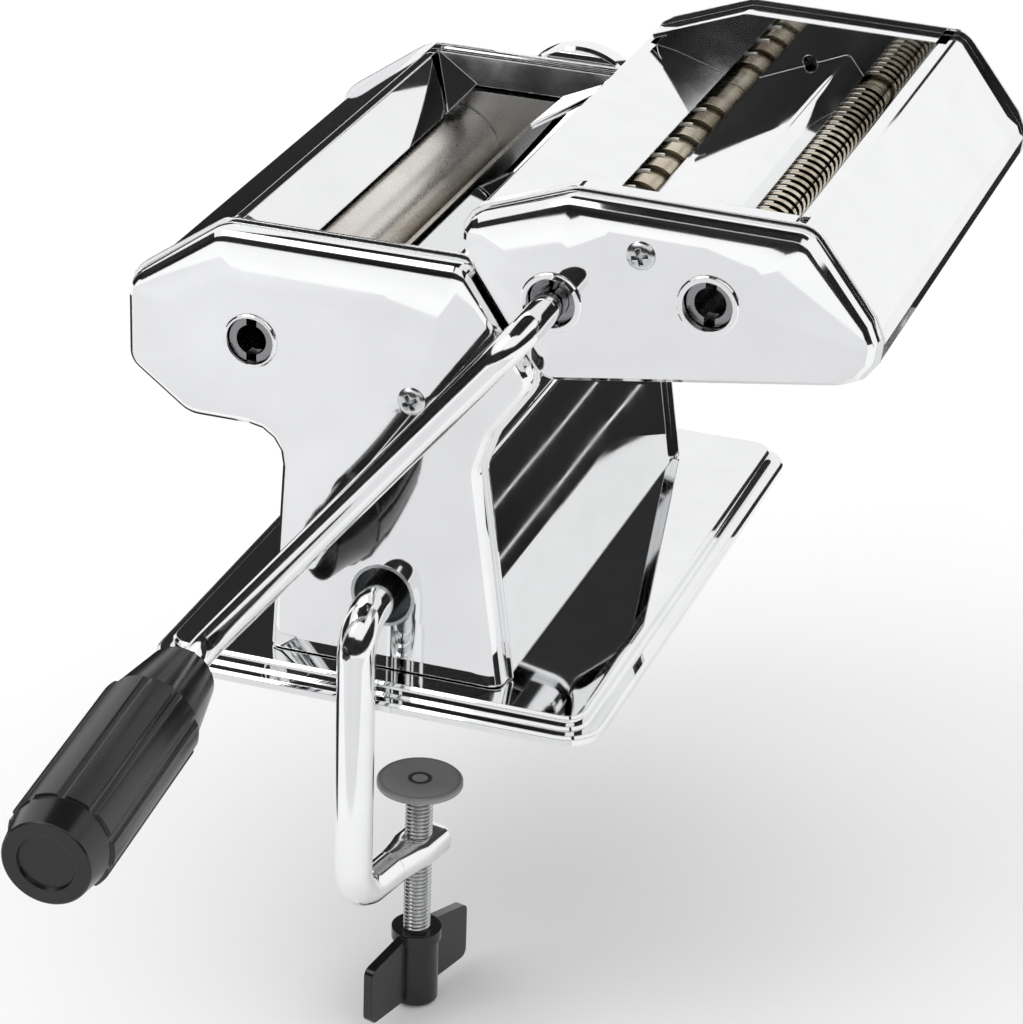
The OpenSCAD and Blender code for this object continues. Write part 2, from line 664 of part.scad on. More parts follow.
gear_rf = gear_rp - 1.59 * gear_module;
gear_thick = PI * gear_module / 2 - 0.26 * gear_module;
module roller_gear(p, bore, a0) {
  difference() {
    along_y(-gear_face, -gear_face + gear_w) translate(p)
      polygon(gear_outline(gear_teeth, gear_rp, gear_ra, gear_rf, gear_thick, a0));
    rod_y(p, bore, -gear_face - over, -gear_face + gear_w + over);
  }
}

// Driven smooth roller with its socket
tube_end = face_y - gap * 2;
shaft_end = frame_out + 3.5;
key_w = 3;
key_d = 4;
edge = 0.4;
module socket_roller(p, end_y, front_y, rear_y, prof) {
  difference() {
    turned_y(p) polygon(concat([[0, -end_y + socket_depth], [socket_bore_r, -end_y + socket_depth],
      [socket_bore_r, -end_y], [socket_r, -end_y], [socket_r, -front_y]], prof,
      [[shaft_r, rear_y], [shaft_r, shaft_end], [0, shaft_end]]));
    translate([p[0] - key_w / 2, -end_y - over, p[1] - socket_r - over])
      cube([key_w, key_d + over, 2 * socket_r + 2 * over]);
  }
}
function plain_roller(r, y0, y1) = [[r - edge, y0], [r, y0 + edge], [r, y1 - edge], [r - edge, y1]];
module drive_roller() {
  color(steel_c) socket_roller(drive_p, tube_end, roller_front, hopper_y,
    plain_roller(roller_r, -roller_front, hopper_y));
}
module drive_gear() {
  color(steel_c) roller_gear(drive_p, socket_r, 0);
}
carrier_y0 = frame_out + 0.5;
carrier_y1 = carrier_y0 + 3.5;
module idle_roller() {
  color(steel_c) turned_y(idle_p) polygon(concat([[0, -carrier_y1 + gap], [shaft_r, -carrier_y1 + gap],
    [shaft_r, -roller_front]], plain_roller(roller_r, -roller_front, hopper_y),
    [[shaft_r, hopper_y], [shaft_r, carrier_y1 - gap], [0, carrier_y1 - gap]]));
}
module idle_gear() {
  color(steel_c) roller_gear(idle_p, shaft_r, 180 + 180 / gear_teeth);
}

// Carrier that holds the idle roller at both ends and slides it toward the driven one
boss_out = 7.8;
arm_half = 4;
cam_min = 6;
cam_y0 = carrier_y1 + 0.5;
cam_y1 = cover_in - 1;
peg_r = 2;
peg_p = adjust_p - [cam_min + gap + peg_r, 0];
module web(a, b, h) {
  v = outward(unit(b - a)) * h;
  polygon([a + v, b + v, b - v, a - v]);
}
module carrier_side() {
  difference() {
    union() {
      rod_y(idle_p, boss_out, -carrier_y1, -carrier_y0);
      rod_y(bar_p, arm_half + 1, -carrier_y1, -carrier_y0);
      along_y(-carrier_y1, -carrier_y0) web(idle_p, bar_p, arm_half);
    }
    rod_y(idle_p, shaft_r + run, -carrier_y1 - over, -carrier_y0 + over);
  }
}
module roller_carrier() {
  color(steel_c) {
    carrier_side();
    mirror([0, 1, 0]) carrier_side();
    rod_y(bar_p, bar_r, -carrier_y1, carrier_y1);
    difference() {
      union() {
        along_y(carrier_y0, carrier_y1) web(idle_p, peg_p, 2.5);
        rod_y(peg_p, 2.5, carrier_y0, carrier_y1);
        rod_y(peg_p, peg_r, carrier_y1, cam_y1);
      }
      rod_y(idle_p, shaft_r + run, carrier_y0 - over, carrier_y1 + over);
    }
  }
}

// Adjuster: shaft with a spiral cam whose radius grows while the knob turns
adjust_turn = 240;
cam_steps = 48;
knob_back = face_y + 1.5;
knob_t = 9.5;
knob_r = 21.6;
washer_y = knob_back + knob_t - 0.3;
function cam_rise(a) = a < adjust_turn ? gap_travel * a / adjust_turn
  : gap_travel * (360 - a) / (360 - adjust_turn);
module adjuster_cam() {
  color(steel_c) {
    rod_y(adjust_p, adjust_shaft_r, frame_in + gap, washer_y + 1);
    along_y(cam_y0, cam_y1) translate(adjust_p) polygon([for (i = [0 : cam_steps - 1])
      (cam_min + cam_rise(i * 360 / cam_steps)) * [cos(180 + i * 360 / cam_steps),
        sin(180 + i * 360 / cam_steps)]]);
    rod_y(adjust_p, 7, washer_y, washer_y + 1);
  }
}
knob_recess_r = 9;
knob_recess = 4.2;
knob_soft = 3;
module adjusting_knob() {
  color(chrome_c) turned_y(adjust_p) polygon(concat(
    [[adjust_shaft_r + run, knob_back], [pin_ring - pin_r - gap, knob_back],
      [pin_ring - pin_r - gap, knob_back + pin_out - dial_t], [pin_ring + pin_r + gap, knob_back + pin_out - dial_t],
      [pin_ring + pin_r + gap, knob_back], [knob_r - 1, knob_back], [knob_r, knob_back + 1]],
    [for (a = [0 : 15 : 90]) [knob_r - knob_soft + knob_soft * cos(a),
      knob_back + knob_t - knob_soft + knob_soft * sin(a)]],
    [[knob_recess_r, knob_back + knob_t], [knob_recess_r, knob_back + knob_t - knob_recess],
      [adjust_shaft_r + run, knob_back + knob_t - knob_recess]]));
}

// Cutter unit: end caps, plates and panels
cap_screw_p = wide_drive_p + [0.229 * cut_w, 0.372 * cut_h];
cut_collar_r = 8.5;
module cutter_cap(front) {
  difference() {
    end_dish(cap_c, cut_rim_y, cap_d, false, cap_screw_p);
    rod_y(cap_screw_p, tie_end_r, -cut_face_y - over, -cut_cap_in + over);
    if (front) for (q = [wide_drive_p, narrow_drive_p])
      rod_y(q, collar_seat_r + slip, -cut_face_y - over, -cut_cap_in + over);
  }
}
module cutter_front_cap() {
  color(chrome_c) cutter_cap(true);
}
module cutter_rear_cap() {
  color(chrome_c) mirror([0, 1, 0]) cutter_cap(false);
}
// Tie rods of the unit: under the wide pair, between the two pairs and beside the narrow pair
cut_tie_low = [-1.1, -14.9];
cut_tie_lift = [0, 6];
cut_tie_side = [14.9, -4.7];
cut_ties = [wide_drive_p + cut_tie_low, (wide_driven_p + narrow_drive_p) / 2 + cut_tie_lift,
  narrow_driven_p + cut_tie_side];
cut_tie_r = 2.5;
cut_screw_r = 1.5;
cut_shaft_r = 4;
cut_bush = 1.2;
axes = [wide_drive_p, wide_driven_p, narrow_drive_p, narrow_driven_p];
function front_shaft(i) = i % 2 == 0 ? socket_r : cut_shaft_r;
function roof_path() = let(c1 = sharp(cap_c, 2, panel_off), c2 = sharp(cap_c, 3, panel_off),
  c3 = sharp(cap_c, 4, panel_off))
  [at_r(c1 - unit(c1 - c2) * 6, 1), at_r(c2, 6), at_r(c3 + unit(c2 - c3) * 5, 1)];
module cutter_plate(front) {
  difference() {
    union() {
      along_y(-cut_plate_out, -cut_plate_in) polygon(outline(cap_c, frame_off, frame_off));
      along_y(-cut_rim_y, -cut_plate_in) folded(roof_path(), -sheet_t, sheet_t);
      along_y(-cut_plate_out, -cut_plate_in) folded(roof_path(), -1.5 * sheet_t, sheet_t);
      rod_y(cap_screw_p, boss_r, -cut_cap_in, -cut_plate_out);
    }
    for (i = [0 : 3]) rod_y(axes[i], (front ? front_shaft(i) : cut_shaft_r) + cut_bush,
      -cut_plate_out - over, -cut_plate_in + over);
    rod_y(cap_screw_p, tie_end_r, -cut_cap_in - over, -cut_plate_in + over);
    for (q = cut_ties) rod_y(q, cut_screw_r, -cut_plate_out - over, -cut_plate_in + over);
  }
}
module cutter_front_plate() {
  color(chrome_c) cutter_plate(true);
}
module cutter_rear_plate() {
  color(chrome_c) mirror([0, 1, 0]) cutter_plate(false);
}
cut_in_y = cut_plate_in - gap;
left_funnel = [at_r(wide_drive_p + [-1.7, 9.7], 1), at_r(wide_drive_p + [-16.6, 14.4], 4)];
cut_e = sharp(cap_c, 4, panel_off);
cut_a = sharp(cap_c, 0, panel_off);
cut_b = sharp(cap_c, 1, panel_off);
cut_cc = sharp(cap_c, 2, panel_off);
bottom_dir = unit(cut_b - cut_a);
left_fold = unit([left_funnel[1][0], left_funnel[1][1]] - cut_e);
module cutter_left_panel() {
  color(chrome_c) {
    along_y(-cut_rim_y, cut_rim_y) folded([at_r(cut_e + left_fold * 4.5, 1), at_r(cut_e, 1.6),
      at_r(cut_a, 5), at_r(cut_a + bottom_dir * 9, 1)], -sheet_t, sheet_t);
    along_y(-cut_in_y, cut_in_y) folded([left_funnel[0], left_funnel[1], at_r(cut_e, 1.6),
      at_r((cut_e + cut_a) / 2, 1)], -sheet_t, sheet_t);
  }
}
ridge = [at_r(narrow_drive_p + [-2.1, 8.8], 1), at_r(narrow_drive_p + [-6.9, 15], 1.8),
  at_r(wide_driven_p + [-6.7, 7.7], 1)];
module cutter_ridge() {
  color(chrome_c) along_y(-cut_in_y, cut_in_y) folded(ridge, -sheet_t, sheet_t);
}
module cutter_right_panel() {
  color(chrome_c) {
    along_y(-cut_rim_y, cut_rim_y) folded([at_r(cut_b - bottom_dir * 20, 1), at_r(cut_b, 9),
      at_r(cut_cc, 5), at_r(cut_cc - [3, 0], 1)], -sheet_t, sheet_t);
    along_y(-cut_in_y, cut_in_y) folded([at_r((cut_b + cut_cc) / 2, 1), at_r(cut_cc, 5),
      at_r(cut_cc - [5.4, 0], 1.5), at_r(narrow_driven_p + [-7.8, 6.5], 1)], -sheet_t, sheet_t);
  }
}
module cutter_tie_rods() {
  color(steel_c) for (q = cut_ties) {
    rod_y(q, cut_tie_r, -cut_plate_in, cut_plate_in);
    rod_y(q, cut_screw_r, -cut_plate_out - nut_h, cut_plate_out + nut_h);
    both_ends() rod_y(q, cut_tie_r, -cut_plate_out - nut_h, -cut_plate_out);
  }
}
module cutter_cap_screws() {
  color(steel_c) both_ends() pan_screw(cap_screw_p, cut_face_y, cut_plate_out);
}
module cutter_collars() {
  color(chrome_c) for (q = [wide_drive_p, narrow_drive_p]) turned_y(q)
    polygon([[socket_r + gap, -cut_face_y - flange_t], [cut_collar_r - flange_t / 2, -cut_face_y - flange_t],
      [cut_collar_r, -cut_face_y - flange_t / 2], [cut_collar_r, -cut_face_y],
      [collar_seat_r + slip, -cut_face_y], [collar_seat_r + slip, -cut_face_y + 2 * cover_t],
      [socket_r + gap, -cut_face_y + 2 * cover_t]]);
}
module cutter_bush(p, r) {
  difference() {
    union() {
      rod_y(p, r + cut_bush, -cut_plate_out, -cut_plate_in);
      rod_y(p, r + cut_bush + 0.4, -cut_plate_out - 0.5, -cut_plate_out);
    }
    rod_y(p, r + run, -cut_plate_out - over, -cut_plate_in + over);
  }
}
module cutter_bushes() {
  color(bronze_c) for (i = [0 : 3]) {
    cutter_bush(axes[i], front_shaft(i));
    mirror([0, 1, 0]) cutter_bush(axes[i], cut_shaft_r);
  }
}

// Cutting rollers: lands and grooves of one profile, each pair offset by half a pitch
side_play = 0.15;
function pitch(land) = 2 * (land + side_play);
function land_count(land) = floor((2 * cut_in_y - pitch(land)) / pitch(land));
function lands(land, phase) = let(n = land_count(land), core = cutter_r - groove_d, p = pitch(land))
  [for (i = [0 : n - 1 + phase]) let(y = (i - (n - 1 + phase) / 2) * p)
    each [[core, y - land / 2], [cutter_r, y - land / 2], [cutter_r, y + land / 2], [core, y + land / 2]]];
cut_tube_end = cut_face_y - 2;
gear_y0 = cut_plate_out + 1;
cut_gear_w = 5;
cut_shaft_end = gear_y0 + cut_gear_w + 0.6;
module cutting_roller(p, land, phase, socket) {
  core = cutter_r - groove_d;
  front = socket ? [[0, -cut_tube_end + socket_depth], [socket_bore_r, -cut_tube_end + socket_depth],
    [socket_bore_r, -cut_tube_end], [socket_r, -cut_tube_end], [socket_r, -cut_in_y]]
    : [[0, -cut_plate_out - 1], [cut_shaft_r, -cut_plate_out - 1], [cut_shaft_r, -cut_in_y]];
  difference() {
    turned_y(p) polygon(concat(front, [[core, -cut_in_y]], lands(land, phase),
      [[core, cut_in_y], [cut_shaft_r, cut_in_y], [cut_shaft_r, cut_shaft_end], [0, cut_shaft_end]]));
    if (socket) translate([p[0] - key_w / 2, -cut_tube_end - over, p[1] - socket_r - over])
      cube([key_w, key_d + over, 2 * socket_r + 2 * over]);
  }
}
module wide_drive_cutter() {
  color(steel_c) cutting_roller(wide_drive_p, wide_land, 0, true);
}
module wide_driven_cutter() {
  color(steel_c) cutting_roller(wide_driven_p, wide_land, 1, false);
}
module narrow_drive_cutter() {
  color(steel_c) cutting_roller(narrow_drive_p, narrow_land, 0, true);
}
module narrow_driven_cutter() {
  color(steel_c) cutting_roller(narrow_driven_p, narrow_land, 1, false);
}
cut_teeth = 13;
cut_rp = pair_dist / 2;
cut_module = pair_dist / cut_teeth;
cut_gear_thick = PI * cut_module / 2 - 0.17 * cut_module;
module cutter_gear(p, a0) {
  color(steel_c) difference() {
    along_y(gear_y0, gear_y0 + cut_gear_w) translate(p) polygon(gear_outline(cut_teeth, cut_rp,
      cut_rp + 0.92 * cut_module, cut_rp - 1.17 * cut_module, cut_gear_thick, a0));
    rod_y(p, cut_shaft_r, gear_y0 - over, gear_y0 + cut_gear_w + over);
  }
}
mate_angle = cut_tilt + 180 + 180 / cut_teeth;
module wide_drive_gear() {
  cutter_gear(wide_drive_p, cut_tilt);
}
module wide_driven_gear() {
  cutter_gear(wide_driven_p, mate_angle);
}
module narrow_drive_gear() {
  cutter_gear(narrow_drive_p, cut_tilt);
}
module narrow_driven_gear() {
  cutter_gear(narrow_driven_p, mate_angle);
}

// Combs whose fingers lie in the grooves and lift the strands off the rollers
comb_in = cutter_r - groove_d + gap;
comb_out = cutter_r - 0.15;
comb_bar = 2.6;
comb_reach = 11.5;
finger_t = 0.9;
module finger_profile() {
  difference() {
    circle(r = comb_out, $fn = round_fn);
    circle(r = comb_in, $fn = round_fn);
    translate([0.5, -cutter_r - over]) square([cutter_r + over, 2 * cutter_r + 2 * over]);
  }
  rotate(235) translate([comb_in + 0.2, -0.8]) square([comb_reach - comb_in, 1.6]);
}
module comb(p, land, phase, side) {
  n = land_count(land) + phase;
  for (i = [0 : n - 2]) let(y = (i - (n - 2) / 2) * pitch(land)) along_y(y - finger_t / 2, y + finger_t / 2)
    translate(p) mirror([side, 0]) finger_profile();
  along_y(-cut_in_y, cut_in_y) translate(p) mirror([side, 0]) rotate(235)
    translate([comb_reach - comb_bar / 2, -comb_bar / 2]) square(comb_bar);
}
module wide_combs() {
  color(nylon_c) {
    comb(wide_drive_p, wide_land, 0, 0);
    comb(wide_driven_p, wide_land, 1, 1);
  }
}
module narrow_combs() {
  color(nylon_c) {
    comb(narrow_drive_p, narrow_land, 0, 0);
    comb(narrow_driven_p, narrow_land, 1, 1);
  }
}

// Crank: bent rod, cross pin and grip
crank_bend = 10;
crank_y = cut_face_y + crank_reach;
arm_angle = 50.7 + 180;
crank_twist = -4;
rod_tip = cut_tube_end - socket_depth + gap;
grip_start = crank_bend + 1.7;
grip_wall = 6;
spindle_len = grip_start + grip_len - grip_wall - 2;
crank_pin_r = 1.25;
crank_pin_len = 12.6;
crank_pin_y = cut_tube_end - key_d + crank_pin_r + 0.25;
module quarter_bend(r, bend) {
  rotate_extrude(angle = 90, $fn = round_fn) translate([bend, 0]) circle(r = r, $fn = round_fn);
}
module y_rod(r, y0, y1) {
  translate([0, y1, 0]) rotate([90, 0, 0]) cylinder(r = r, h = y1 - y0, $fn = round_fn);
}
// Places its children at the arm's outer end, turned with the grip's spindle.
// The turned end is a hair thinner and enters the arm, so that the two join as one rod.
module on_spindle() {
  translate([crank_arm_len, -crank_y, 0]) rotate([crank_twist, 0, 0]) children();
}
module on_arm() {
  translate([wide_drive_p[0], 0, wide_drive_p[1]]) rotate([0, -arm_angle, 0]) children();
}
module crank_arm() {
  color(chrome_c) difference() {
    on_arm() {
      y_rod(crank_r, -crank_y + crank_bend, -rod_tip);
      translate([crank_bend, -crank_y + crank_bend, 0]) rotate([0, 0, 180]) quarter_bend(crank_r, crank_bend);
      translate([crank_bend, -crank_y, 0]) rotate([0, 90, 0])
        cylinder(r = crank_r, h = crank_arm_len - 2 * crank_bend, $fn = round_fn);
      on_spindle() {
        translate([-crank_bend - crank_r, 0, 0]) rotate([0, 90, 0])
          cylinder(r = crank_r - run, h = crank_r, $fn = round_fn);
        translate([-crank_bend, -crank_bend, 0]) quarter_bend(crank_r - run, crank_bend);
        y_rod(crank_r - run, -grip_start + gap, -crank_bend);
        y_rod(spindle_r, -spindle_len, -grip_start + gap);
      }
    }
    translate([wide_drive_p[0], -crank_pin_y, wide_drive_p[1] - crank_pin_len])
      cylinder(r = crank_pin_r, h = 2 * crank_pin_len, $fn = round_fn);
  }
}
module crank_pin() {
  color(steel_c) translate([wide_drive_p[0], -crank_pin_y, wide_drive_p[1] - crank_pin_len / 2])
    cylinder(r = crank_pin_r, h = crank_pin_len, $fn = round_fn);
}
elbow_p = wide_drive_p + crank_arm_len * [cos(arm_angle), sin(arm_angle)];
flutes = 10;
flute_r = 1.7;
flute_depth = 0.9;
grip_floor = grip_r - flute_depth;
neck_len = 24;
neck_r = 0.68 * grip_r;
band_len = 10;
butt_r = 0.84 * grip_r;
butt_dish_r = 0.52 * grip_r;
butt_dish = 1;
rib_chamfer = 0.8;
module crank_grip() {
  y1 = grip_start + grip_len;
  color(black_c) on_arm() on_spindle() difference() {
    turned_y([0, 0]) polygon([[spindle_r + run, -grip_start], [spindle_r + run, -spindle_len - gap],
      [0, -spindle_len - gap], [0, butt_dish - y1], [butt_dish_r, butt_dish - y1], [butt_dish_r + edge, -y1],
      [butt_r - edge, -y1], [butt_r, edge - y1], [grip_floor, band_len - y1], [grip_r, band_len + edge - y1],
      [grip_r, -grip_start - neck_len - rib_chamfer], [grip_floor, -grip_start - neck_len],
      [neck_r, edge - grip_start - 2 * edge], [neck_r - edge, -grip_start]]);
    for (i = [0 : flutes - 1]) rod_y((grip_floor + flute_r) * [cos(i * 360 / flutes), sin(i * 360 / flutes)],
      flute_r, band_len - y1, -grip_start - neck_len + over);
  }
}

// Table clamp
clamp_y = face_y + 19.5;
clamp_bend = 10;
clamp_bush_in = 16;
clamp_bush_len = 36;
clamp_rod_in = 34;
clamp_low = clamp_p[1] - clamp_drop;
// Lower arm: its turn about the drop, its reach to the screw and its swaged flat end
arm_twist = 11;
arm_reach = 35.6;
swage_start = 16;
swage_end = 9;
swage_w = 6.8;
swage_h = 4.2;
swage_points = 24;
screw_p = [clamp_p[0] + arm_reach * sin(arm_twist), -clamp_y + arm_reach * cos(arm_twist)];
module clamp_bush() {
  color(steel_c) difference() {
    rod_y(clamp_p, clamp_tube_r - clamp_wall - run, -face_y + clamp_bush_in, -face_y + clamp_bush_len);
    rod_y(clamp_p, clamp_r + run, -face_y, -face_y + clamp_bush_len + over);
  }
}
// Ring of a swaged bar: half width, half height and how square it is
function swage_ring(y, w, h, e) = [for (i = [0 : swage_points - 1]) let(a = -i * 360 / swage_points)
  [w * sign(cos(a)) * pow(abs(cos(a)), e), y, h * sign(sin(a)) * pow(abs(sin(a)), e)]];
module swaged_end() {
  y0 = arm_reach - swage_start;
  y1 = arm_reach + swage_end;
  r = clamp_r - slip;
  dish([swage_ring(y0 + slip, r, r, 1), swage_ring(y0 + swage_start / 2, (r + swage_w) / 2, (r + swage_h) / 2, 0.8),
    swage_ring(y0 + swage_start * 3 / 4, swage_w, swage_h, 0.6), swage_ring(y1 - swage_h / 2, swage_w, swage_h, 0.6),
    swage_ring(y1 - swage_h / 8, swage_w - swage_h / 6, swage_h * 5 / 6, 0.7),
    swage_ring(y1, swage_w - swage_h / 2, swage_h / 2, 0.8),
    swage_ring(y0 - clamp_r / 2, r / 2, r / 2, 1)], 6, [[0, y1, 0], [0, y0 - clamp_r / 2, 0]]);
}
module clamp_rod() {
  color(chrome_c) difference() {
    union() {
      rod_y(clamp_p, clamp_r, -clamp_y + clamp_bend, -face_y + clamp_rod_in);
      translate([clamp_p[0], -clamp_y + clamp_bend, clamp_p[1] - clamp_bend]) rotate([90, 0, 90])
        rotate([0, 0, 90]) quarter_bend(clamp_r, clamp_bend);
      translate([clamp_p[0], -clamp_y, clamp_low + clamp_bend])
        cylinder(r = clamp_r, h = clamp_p[1] - clamp_low - 2 * clamp_bend, $fn = round_fn);
      translate([clamp_p[0], -clamp_y, clamp_low]) rotate([0, 0, -arm_twist]) {
        translate([0, 0, clamp_bend]) cylinder(r = clamp_r - run, h = clamp_r, $fn = round_fn);
        translate([0, clamp_bend, clamp_bend]) rotate([90, 0, 90]) rotate([0, 0, 180])
          quarter_bend(clamp_r - run, clamp_bend);
        y_rod(clamp_r - run, clamp_bend, arm_reach - swage_start);
        swaged_end();
      }
    }
    translate([screw_p[0], screw_p[1], clamp_low - 2 * swage_h])
      cylinder(r = screw_r + run, h = 4 * swage_h, $fn = round_fn);
  }
}
pad_t = 1.8;
pad_neck = 2.2;
pad_neck_r = 6;
pad_seat = 1.6;
pad_edge = 0.5;
module clamp_pad() {
  color(steel_c) translate([screw_p[0], screw_p[1], -jaw_gap]) rotate_extrude($fn = round_fn)
    polygon([[0, 0], [pad_r - pad_edge, 0], [pad_r, -pad_edge], [pad_r, -pad_t], [pad_neck_r, -pad_t],
      [pad_neck_r - pad_edge, -pad_t - pad_neck], [screw_r + run, -pad_t - pad_neck],
      [screw_r + run, -pad_seat], [0, -pad_seat]]);
}
hub_top = 84.8;
hub_len = 23.8;
module clamp_screw() {
  color(steel_c) translate([screw_p[0], screw_p[1], -hub_top - hub_len / 2])
    cylinder(r = screw_r, h = hub_top + hub_len / 2 - jaw_gap - pad_seat - gap, $fn = round_fn);
}
hub_r = 6.6;
hub_flange_r = 7.4;
hub_flange = 3.5;
wing_span = 48;
wing_t = 3;
wing_turn = 75;
wing_low = 2;
wing_in_h = hub_len - 2 * wing_low + 1.4;
wing_out_h = wing_in_h - 3.4;
wing_corner = 2.5;
wing_c = [[-wing_span / 2, 0, wing_corner], [wing_span / 2, 0, wing_corner],
  [wing_span / 2, wing_out_h, wing_corner], [hub_r, wing_in_h, wing_corner],
  [-hub_r, wing_in_h, wing_corner], [-wing_span / 2, wing_out_h, wing_corner]];
module wing_knob() {
  color(black_c) translate([screw_p[0], screw_p[1], -hub_top]) difference() {
    union() {
      translate([0, 0, -hub_len]) cylinder(r = hub_r, h = hub_len, $fn = round_fn);
      translate([0, 0, -hub_flange]) cylinder(r = hub_flange_r, h = hub_flange, $fn = round_fn);
      rotate([0, 0, wing_turn]) translate([0, wing_t / 2, wing_low - hub_len]) rotate([90, 0, 0])
        linear_extrude(wing_t) polygon(outline(wing_c, 0, 0));
    }
    translate([0, 0, -hub_len / 2]) cylinder(r = screw_r, h = hub_len, $fn = round_fn);
  }
}

base_tray();
base_board();
base_screws();
front_frame();
rear_frame();
front_cover();
rear_cover();
cover_screws();
left_panel();
right_panel();
hopper_ends();
sheet_guide();
tie_rods();
roller_bushes();
crank_collar();
clamp_tube();
hitch_rails();
roller_scrapers();
dial_plate();
drive_roller();
drive_gear();
roller_carrier();
idle_roller();
idle_gear();
adjuster_cam();
adjusting_knob();
cutter_front_cap();
cutter_rear_cap();
cutter_front_plate();
cutter_rear_plate();
cutter_left_panel();
cutter_ridge();
cutter_right_panel();
cutter_tie_rods();
cutter_cap_screws();
cutter_collars();
cutter_bushes();
hitch_tongues();
wide_drive_cutter();
wide_drive_gear();
wide_driven_cutter();
wide_driven_gear();
narrow_drive_cutter();
narrow_drive_gear();
narrow_driven_cutter();
narrow_driven_gear();
wide_combs();
narrow_combs();
crank_arm();
crank_pin();
crank_grip();
clamp_bush();
clamp_rod();
clamp_pad();
clamp_screw();
wing_knob();
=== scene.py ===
"""Chromed pasta machine: studio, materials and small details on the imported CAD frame."""
import math

import bpy
from mathutils import Matrix, Vector

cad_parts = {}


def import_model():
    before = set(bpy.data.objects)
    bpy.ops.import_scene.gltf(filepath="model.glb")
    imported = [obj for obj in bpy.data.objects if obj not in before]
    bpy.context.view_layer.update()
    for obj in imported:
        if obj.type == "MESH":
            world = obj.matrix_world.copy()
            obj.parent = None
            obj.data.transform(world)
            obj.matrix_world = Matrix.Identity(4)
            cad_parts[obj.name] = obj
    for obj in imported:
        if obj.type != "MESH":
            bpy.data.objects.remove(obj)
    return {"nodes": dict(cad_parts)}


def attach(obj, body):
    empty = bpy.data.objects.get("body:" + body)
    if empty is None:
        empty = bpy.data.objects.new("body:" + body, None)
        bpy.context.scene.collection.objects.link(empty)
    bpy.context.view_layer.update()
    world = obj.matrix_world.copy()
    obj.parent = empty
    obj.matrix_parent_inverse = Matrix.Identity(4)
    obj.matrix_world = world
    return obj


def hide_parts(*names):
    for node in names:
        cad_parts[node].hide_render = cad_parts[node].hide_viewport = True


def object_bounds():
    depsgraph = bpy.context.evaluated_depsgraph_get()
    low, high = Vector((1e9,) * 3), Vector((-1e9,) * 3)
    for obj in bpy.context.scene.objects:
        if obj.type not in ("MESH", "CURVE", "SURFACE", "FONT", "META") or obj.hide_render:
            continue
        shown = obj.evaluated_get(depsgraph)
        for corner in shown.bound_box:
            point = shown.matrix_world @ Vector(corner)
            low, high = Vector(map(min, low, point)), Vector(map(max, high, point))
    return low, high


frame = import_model()
cad_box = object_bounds()
nodes = frame["nodes"]

# Camera at the photograph's place, solved from the straight edges in the photograph
CAMERA_AT = Vector((0.33007, -0.96620, 0.51160))
CAMERA_RIGHT = Vector((0.94374, 0.32928, 0.03058))
CAMERA_UP = Vector((-0.16966, 0.40271, 0.89947))
CAMERA_LENS = 133.66
SENSOR = 36.0

# Places that small pieces share with the CAD source, in metres
COVER_SCREW = (0.008136, 0.090224)
CAP_SCREW = (0.071967, 0.144525)
COVER_FACE = 0.0865
CAP_FACE = 0.0910
SCREW_AT = (0.0075768, -0.0710541)
SCREW_Z = (-0.0967, -0.0371)
PAD_TOP = -0.0351

FLOOR_DROP = 0.0012      # floor under the lowest point of the object
SHARP_ANGLE = 28.0       # edges sharper than this stay sharp, in degrees
EDGE_ROUND = 0.00035     # radius that pressed edges catch the light with

SHAFT_END = (0.0745, 0.0755)   # distance from the middle where the plain shaft ends begin
PAD_RADIUS = 0.0125
SCREW_RADIUS = 0.004
SCREW_PITCH = 0.00125
THREAD_DEPTH = 0.00055
WELD_GAP = 0.000002
FLOOR_HALF = 6.0
FLAG_FLOOR = -0.105            # height of the flags that lie down
CARD_FLOOR = -0.106
KEY_PLACE, KEY_AIM, KEY_SIZE, KEY_POWER = (-0.75, -0.75, 1.35), (0, 0, 0.05), (0.8, 0.8), 5.0


# ---------------------------------------------------------------- helpers
def link(obj):
    bpy.context.scene.collection.objects.link(obj)
    return obj


def new_material(name):
    mat = bpy.data.materials.new(name)
    mat.use_nodes = True
    tree = mat.node_tree
    return mat, tree, tree.nodes["Principled BSDF"]


def add_node(tree, kind, **settings):
    node = tree.nodes.new(kind)
    for key, value in settings.items():
        if key.startswith("in_"):
            node.inputs[key[3:].replace("_", " ")].default_value = value
        else:
            setattr(node, key, value)
    return node


def noise(tree, scale, detail=4.0, rough=0.55, stretch=None):
    """Noise in the object's own metres, stretched along an axis where asked."""
    coords = add_node(tree, "ShaderNodeTexCoord")
    tex = add_node(tree, "ShaderNodeTexNoise", in_Scale=scale, in_Detail=detail, in_Roughness=rough)
    if stretch:
        mapping = add_node(tree, "ShaderNodeMapping", in_Scale=stretch)
        tree.links.new(coords.outputs["Object"], mapping.inputs["Vector"])
        tree.links.new(mapping.outputs["Vector"], tex.inputs["Vector"])
    else:
        tree.links.new(coords.outputs["Object"], tex.inputs["Vector"])
    return tex


def remap(tree, source, low, high, first=0.3, last=0.7):
    node = add_node(tree, "ShaderNodeMapRange")
    node.inputs["From Min"].default_value = first
    node.inputs["From Max"].default_value = last
    node.inputs["To Min"].default_value = low
    node.inputs["To Max"].default_value = high
    tree.links.new(source, node.inputs["Value"])
    return node.outputs["Result"]


def tint(tree, source, dark, light, first=0.35, last=0.65):
    ramp = add_node(tree, "ShaderNodeValToRGB")
    ramp.color_ramp.elements[0].position = first
    ramp.color_ramp.elements[0].color = (*dark, 1)
    ramp.color_ramp.elements[1].position = last
    ramp.color_ramp.elements[1].color = (*light, 1)
    tree.links.new(source, ramp.inputs["Fac"])
    return ramp.outputs["Color"]


